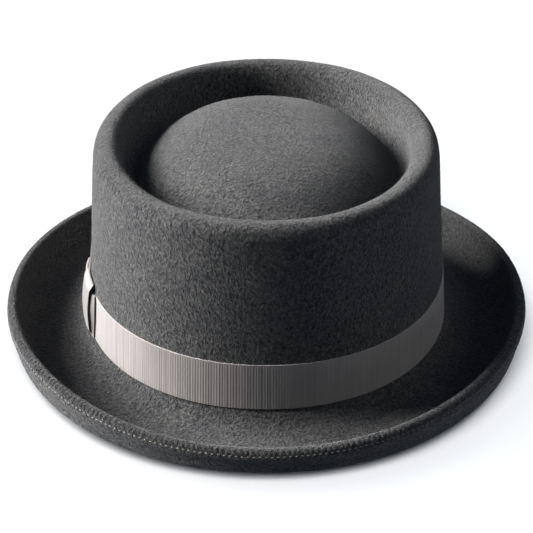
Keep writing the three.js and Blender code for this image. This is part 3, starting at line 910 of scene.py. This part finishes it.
def bow_knot():
    """The short ribbon wrapped round the bow's waist."""
    near, far = CLEARANCE, 1.6 * MM
    corner = 0.8 * MM
    straight = KNOT_HALF_HEIGHT - corner
    outline = np.concatenate([
        [[near, -KNOT_HALF_HEIGHT]],
        arc((far - corner, -straight), corner, -math.pi / 2, 0, 8),
        np.stack([np.full(20, far), np.linspace(-straight, straight, 22)[1:-1]], 1),
        arc((far - corner, straight), corner, 0, math.pi / 2, 8),
        [[near, KNOT_HALF_HEIGHT]]])
    inset = outline + normals_2d(outline) * 0.4 * MM
    section = np.concatenate([outline, inset[::-1]])
    run = np.linspace(-KNOT_HALF_LENGTH + 1.5 * MM, KNOT_HALF_LENGTH, 61)
    rib = BOW_RIB_HEIGHT * np.abs(np.sin(math.pi * np.abs(run) / RIB_PITCH)) ** 0.7
    fold = 0.12 * MM * np.cos(run / KNOT_HALF_LENGTH * 4.2 + 0.4)
    outer_mask = np.arange(len(section)) < len(outline)
    out = section[:, 0] + rib[:, None] * outer_mask + fold[:, None] * (section[:, 0] > 1.2 * MM)
    pinch = 1 - 0.05 * np.cos(run / KNOT_HALF_LENGTH * math.pi / 2)
    drop = 0.8 * MM * smoothstep(-run, -4 * MM, 6.5 * MM)
    z = (BAND_MID_Z + section[:, 1] * pinch[:, None]
         - drop[:, None] * smoothstep(section[:, 1], 0, KNOT_HALF_HEIGHT))
    turn = BOW_TURN + run[:, None] / HEAD_HALF_DEPTH
    points = oval(wall_outer(z) + CLEARANCE + RIBBON + out, z, turn)
    piece = add_mesh("bow_knot_wrap", points, closed_strip(points), bow_ribbon_painted_shade)
    finish_piece(piece, "ribbon", "bow_knot")


# ---------------- sweatband
def sweatband_inner(z):
    return wall_inner(z) - SWEATBAND_SETBACK - LEATHER


def sweatband():
    low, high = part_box("sweatband")
    stations = 721
    half_gap = 0.003
    turns = BACK_TURN + np.linspace(half_gap, FULL_TURN - half_gap, stations)
    z = np.linspace(low.z, high.z, 31)
    wave = (np.sin(5 * turns)[:, None] * (z - low.z) / (high.z - low.z) * 0.35 * MM
            + 0.1 * MM * np.sin(23 * turns[:, None] + 160 * z))
    inner_u = sweatband_inner(z) + wave * 0.5
    outer_u = inner_u + LEATHER
    round_top = 1 - np.clip((high.z - z) / (0.8 * MM), 0, 1)
    points = np.concatenate([oval(inner_u + 0.35 * MM * round_top, z, turns[:, None]),
                             oval(outer_u[:, ::-1], z[::-1], turns[:, None])], 1)
    faces = [f[:, ::-1] for f in closed_strip(points)]
    finish_piece(add_mesh("leather_sweatband", points, faces, leather), "leather", "sweatband")


def sweatband_stitches():
    low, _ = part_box("sweatband")
    z = low.z + 3 * MM
    turns, _ = even_turns(sweatband_inner(z), z, SEAM_STITCHES, BACK_TURN)
    centres, ahead, outward = frames_along(sweatband_inner(z), z, turns)
    thread_row("sweatband_seam_stitches", "sweatband_stitching", centres, ahead, -outward, *SEAM_THREAD)


def reed_tape():
    _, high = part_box("reed_tape")
    reed_low, reed_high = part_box("sweatband_reed")
    reed_z = (reed_low.z + reed_high.z) / 2
    centre = (wall_inner(reed_z) - 2.2 * MM, reed_z)
    roll = arc(centre, 1.9 * MM, math.radians(75), math.radians(340), 22)
    inner_roll = arc(centre, 1.4 * MM, math.radians(340), math.radians(75), 16)
    tail = wall_inner(high.z) - 0.4 * MM
    section = np.concatenate([
        roll, [[centre[0] + 2.0 * MM, reed_z + 1.2 * MM], [tail, high.z], [tail - 0.5 * MM, high.z],
               [centre[0] + 1.5 * MM, reed_z + 1.5 * MM]], inner_roll])
    stations = 900
    turns = full_turns(stations)
    ridges = 0.04 * MM * np.sin(turns * 450)
    on_roll = np.arange(len(section)) < len(roll)
    u = section[:, 0] - ridges[:, None] * on_roll
    points = oval(u, section[:, 1], turns[:, None])
    faces = [grid_faces(stations, len(section), wrap_rows=True, wrap_columns=True)[:, ::-1]]
    finish_piece(add_mesh("reed_tape_roll", points, faces, tape), "tape", "reed_tape")


def size_tag():
    """A blank woven tag on the leather, thicker at its folded hems."""
    low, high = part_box("size_tag")
    half_length, thickness = 9 * MM, 0.35 * MM
    run, rise = np.meshgrid(np.linspace(-1, 1, 61), np.linspace(0, 1, 31), indexing="ij")
    z = low.z + rise * (high.z - low.z)
    turn = BACK_TURN - math.radians(20) + run * half_length / HEAD_HALF_WIDTH
    hem = 1 - np.clip(np.minimum(1 - np.abs(run), np.minimum(rise, 1 - rise) * 2) / 0.12, 0, 1)
    weave = 0.12 * MM * hem + 0.02 * MM * np.sin(run * 90)
    face = sweatband_inner(z) - 0.35 * MM
    piece = sheet_mesh("blank_size_tag", oval(face, z, turn), oval(face - thickness - weave, z, turn), tag)
    finish_piece(piece, "tag", "size_tag")


def ribbon_loop(path, half_width, thickness):
    """Points of a small upright ribbon swept along a closed path, for the sweatband's bow."""
    normal = np.cross(unit(np.roll(path, -1, axis=0) - np.roll(path, 1, axis=0)), UP)
    corners = [(-1, -1), (-1, 1), (1, 1), (1, -1)]
    return np.stack([path + UP * half_width * a + normal * thickness * b / 2 for a, b in corners], 1)


def sweatband_bow():
    """A flat little bow: two flattened loops and a knot, in one row along the sweatband."""
    low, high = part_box("sweatband_bow")
    z = (low.z + high.z) / 2
    depth = sweatband_inner(z) - 0.5 * MM
    steps = 48
    angle = full_turns(steps)
    loop = (3.8 * MM, 0.75 * MM, 2.6 * MM)
    knot = (1.5 * MM, 1.05 * MM, 1.9 * MM)
    points, faces = [], []
    for centre_run, (half_run, half_deep, half_width) in ((-4.1 * MM, loop), (4.1 * MM, loop), (0.0, knot)):
        run = centre_run + half_run * np.sign(np.cos(angle)) * np.abs(np.cos(angle)) ** 0.7
        inward = 1.15 * MM + half_deep * np.sign(np.sin(angle)) * np.abs(np.sin(angle)) ** 0.8
        path = oval(depth - inward, z, BACK_TURN + run / HEAD_HALF_WIDTH)
        faces.append(grid_faces(steps, 4, wrap_rows=True, wrap_columns=True, offset=len(points) * steps * 4))
        points.append(ribbon_loop(path, half_width, 0.35 * MM).reshape(-1, 3))
    piece = add_mesh("small_sweatband_bow", np.concatenate(points), faces, tape, smooth=False)
    finish_piece(piece, "tape", "sweatband_bow")


# ---------------- lining
def lining_side():
    low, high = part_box("lining_side")
    stations = 1080
    turns = full_turns(stations)
    z = np.linspace(low.z, high.z, 25)
    gathers = noise_row(stations, (31, 47, 62, 89, 113), 14, 0.9)
    depth = 0.55 * MM + 0.45 * MM * gathers
    outer_u = wall_inner(z) - 0.4 * MM
    inner_u = outer_u - CLOTH - np.clip(depth, 0, 1.2 * MM)[:, None] * smoothstep(z, 43 * MM, 52 * MM)
    points = np.concatenate([oval(inner_u, z, turns[:, None]),
                             oval(outer_u[::-1], z[::-1], turns[:, None])], 1)
    faces = [grid_faces(stations, points.shape[1], wrap_rows=True, wrap_columns=True)[:, ::-1]]
    piece = finish_piece(add_mesh("satin_lining_side", points, faces, satin), "satin", "lining_side")


def lining_tip():
    low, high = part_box("lining_tip")
    rise_height = high.z - CLOTH - low.z
    base_z = low.z + 0.35 * MM
    thickness = CLOTH - 0.2 * MM
    share = np.linspace(0, 1, 61)[1:]
    stations = 720
    turns = full_turns(stations)
    u = share * high.x
    dome = np.clip(1 - (u / (56 * MM)) ** 2, 0, 1) ** 2 * rise_height
    pull = noise_row(stations, (18, 29, 41, 57), 17, 0.9)[:, None]
    pull = pull * (smoothstep(share, 0.55, 0.97) * 0.28 * MM)
    sag = 0.25 * MM * np.sin(3 * turns)[:, None] * (share * (1 - share) * 4)
    z = base_z + dome + np.abs(pull) + sag * 0.5
    under = ring_rows(oval(u, z, turns[:, None]))
    middle = axis_point(base_z + rise_height)
    points = np.concatenate([under, under + UP * thickness, middle, middle + UP * thickness])
    rings = len(share)
    base = rings * stations
    i = np.arange(stations)
    j = (i + 1) % stations
    last = base - stations
    faces = [grid_faces(rings, stations, wrap_columns=True)[:, ::-1],
             grid_faces(rings, stations, wrap_columns=True, offset=base),
             np.stack([i + last, j + last, j + last + base, i + last + base], 1),
             fan(2 * base, j, i), fan(2 * base + 1, i + base, j + base)]
    piece = finish_piece(add_mesh("satin_lining_tip", points, faces, satin), "satin", "lining_tip")


def lining_piping():
    low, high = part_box("lining_piping")
    z = (low.z + high.z) / 2
    radius = 0.8 * MM
    centre_u = wall_inner(z) - 0.5 * MM - radius
    stations, sides = 1440, 10
    turns = full_turns(stations)
    angle = full_turns(sides)
    girth = radius * (0.94 + 0.06 * np.sin(turns * 240)[:, None])
    points = oval(centre_u + girth * np.cos(angle), z + girth * np.sin(angle), turns[:, None])
    faces = [grid_faces(stations, sides, wrap_rows=True, wrap_columns=True)]
    finish_piece(add_mesh("satin_piping", points, faces, satin), "satin", "lining_piping")


# ---------------- build
felt_body()
felt_nap()
brim_stitches()
hat_band()
bow_leaf("bow_lower_leaf", "bow_under_leaf", BOW_HALF_LENGTH + 2.2 * MM, high_z=32.5 * MM, rest_gap=0.45 * MM,
         puff_depth=1.7 * MM, corner_drop=0.0, end_tuck=0.85, far_sag=0.9 * MM, seed=1.0)
bow_leaf("bow_upper_leaf", "bow_over_leaf", BOW_HALF_LENGTH - 1.2 * MM, high_z=36.7 * MM, rest_gap=1.3 * MM,
         puff_depth=1.8 * MM, corner_drop=1.3 * MM, end_tuck=0.0, far_sag=1.8 * MM, seed=2.6)
bow_knot()
sweatband()
sweatband_stitches()
reed_tape()
size_tag()
sweatband_bow()
lining_side()
lining_tip()
lining_piping()


def paint_node(node, material):
    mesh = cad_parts[node].data
    mesh.materials.clear()
    mesh.materials.append(material)


paint_node("brim_wire", wire_material())
paint_node("sweatband_reed", plastic_material())
paint_node("sweatband_joint_tape", tape)


# ---------------- floor and light
FLOOR_HALF = 6.0
WALL_RADIUS = 5.9
WALL_HEIGHT = 6.0
WALL_SIDES = 96
STAGE_COLOUR = (0.8, 0.8, 0.805, 1)
SKY_COLOUR = (0.62, 0.79, 1.0, 1)
SKY_STRENGTH = 0.19
WARM = (1.0, 0.99, 0.975)
FILL_WARM = (1.0, 0.99, 0.97)
WHITE = (1.0, 1.0, 1.0)

# name, turn from +X and height in degrees, energy, angular size in degrees, colour, lights the floor only
SUNS = (
    ("key_side", 179, 24, 10.0, 26, WARM, False),
    ("key_back", 153, 25, 11.0, 28, WARM, False),
    ("fill", 350, 32, 0.75, 36, FILL_WARM, False),
    ("wash", 258, 55, 3.9, 40, WHITE, True),
    ("floor_side", 165, 40, 1.2, 50, WHITE, True),
)


def make_floor():
    n = Nodes("studio_floor")
    n.set(Base_Color=STAGE_COLOUR, Roughness=0.9, Specular_IOR_Level=0.1)
    corners = np.array([[-1, -1, 0], [1, -1, 0], [1, 1, 0], [-1, 1, 0]]) * FLOOR_HALF
    floor = add_mesh("studio_floor", corners, [np.array([[0, 1, 2, 3]])], n.material, smooth=False)
    floor.location.z = -0.2 * MM
    floor.visible_diffuse = False
    return floor


def make_backdrop():
    """A plain bright wall round the floor."""
    n = Nodes("studio_backdrop")
    n.set(Base_Color=STAGE_COLOUR, Roughness=1.0, Specular_IOR_Level=0.0,
          Emission_Color=(*WHITE, 1), Emission_Strength=0.93)
    turns = full_turns(WALL_SIDES)
    points = np.stack([[WALL_RADIUS * np.cos(turns), WALL_RADIUS * np.sin(turns), np.full(WALL_SIDES, z)]
                       for z in (-0.01, WALL_HEIGHT)]).transpose(0, 2, 1)
    faces = [grid_faces(2, WALL_SIDES, wrap_columns=True)]
    wall = add_mesh("studio_backdrop", points, faces, n.material, smooth=False)
    wall.visible_diffuse = wall.visible_glossy = wall.visible_transmission = wall.visible_shadow = False


def make_sun(floor, name, turn, height, energy, angle, colour, floor_only):
    """A sun lamp that lights either the floor alone or everything but the floor."""
    data = bpy.data.lights.new(name, "SUN")
    data.energy = energy
    data.angle = math.radians(angle)
    data.color = colour
    lamp = bpy.data.objects.new(name, data)
    bpy.context.scene.collection.objects.link(lamp)
    turn, height = math.radians(turn), math.radians(height)
    towards = Vector((math.cos(height) * math.cos(turn), math.cos(height) * math.sin(turn), math.sin(height)))
    lamp.rotation_euler = towards.to_track_quat("Z", "Y").to_euler()
    linked = bpy.data.collections.new(name + "_link")
    linked.objects.link(floor)
    linked.collection_objects[0].light_linking.link_state = "INCLUDE" if floor_only else "EXCLUDE"
    lamp.light_linking.receiver_collection = linked


def make_light(floor):
    world = bpy.data.worlds.new("studio")
    world.use_nodes = True
    background = world.node_tree.nodes["Background"]
    background.inputs["Color"].default_value = SKY_COLOUR
    background.inputs["Strength"].default_value = SKY_STRENGTH
    bpy.context.scene.world = world
    for sun in SUNS:
        make_sun(floor, *sun)


make_light(make_floor())
make_backdrop()
bpy.context.scene.view_settings.view_transform = "Standard"
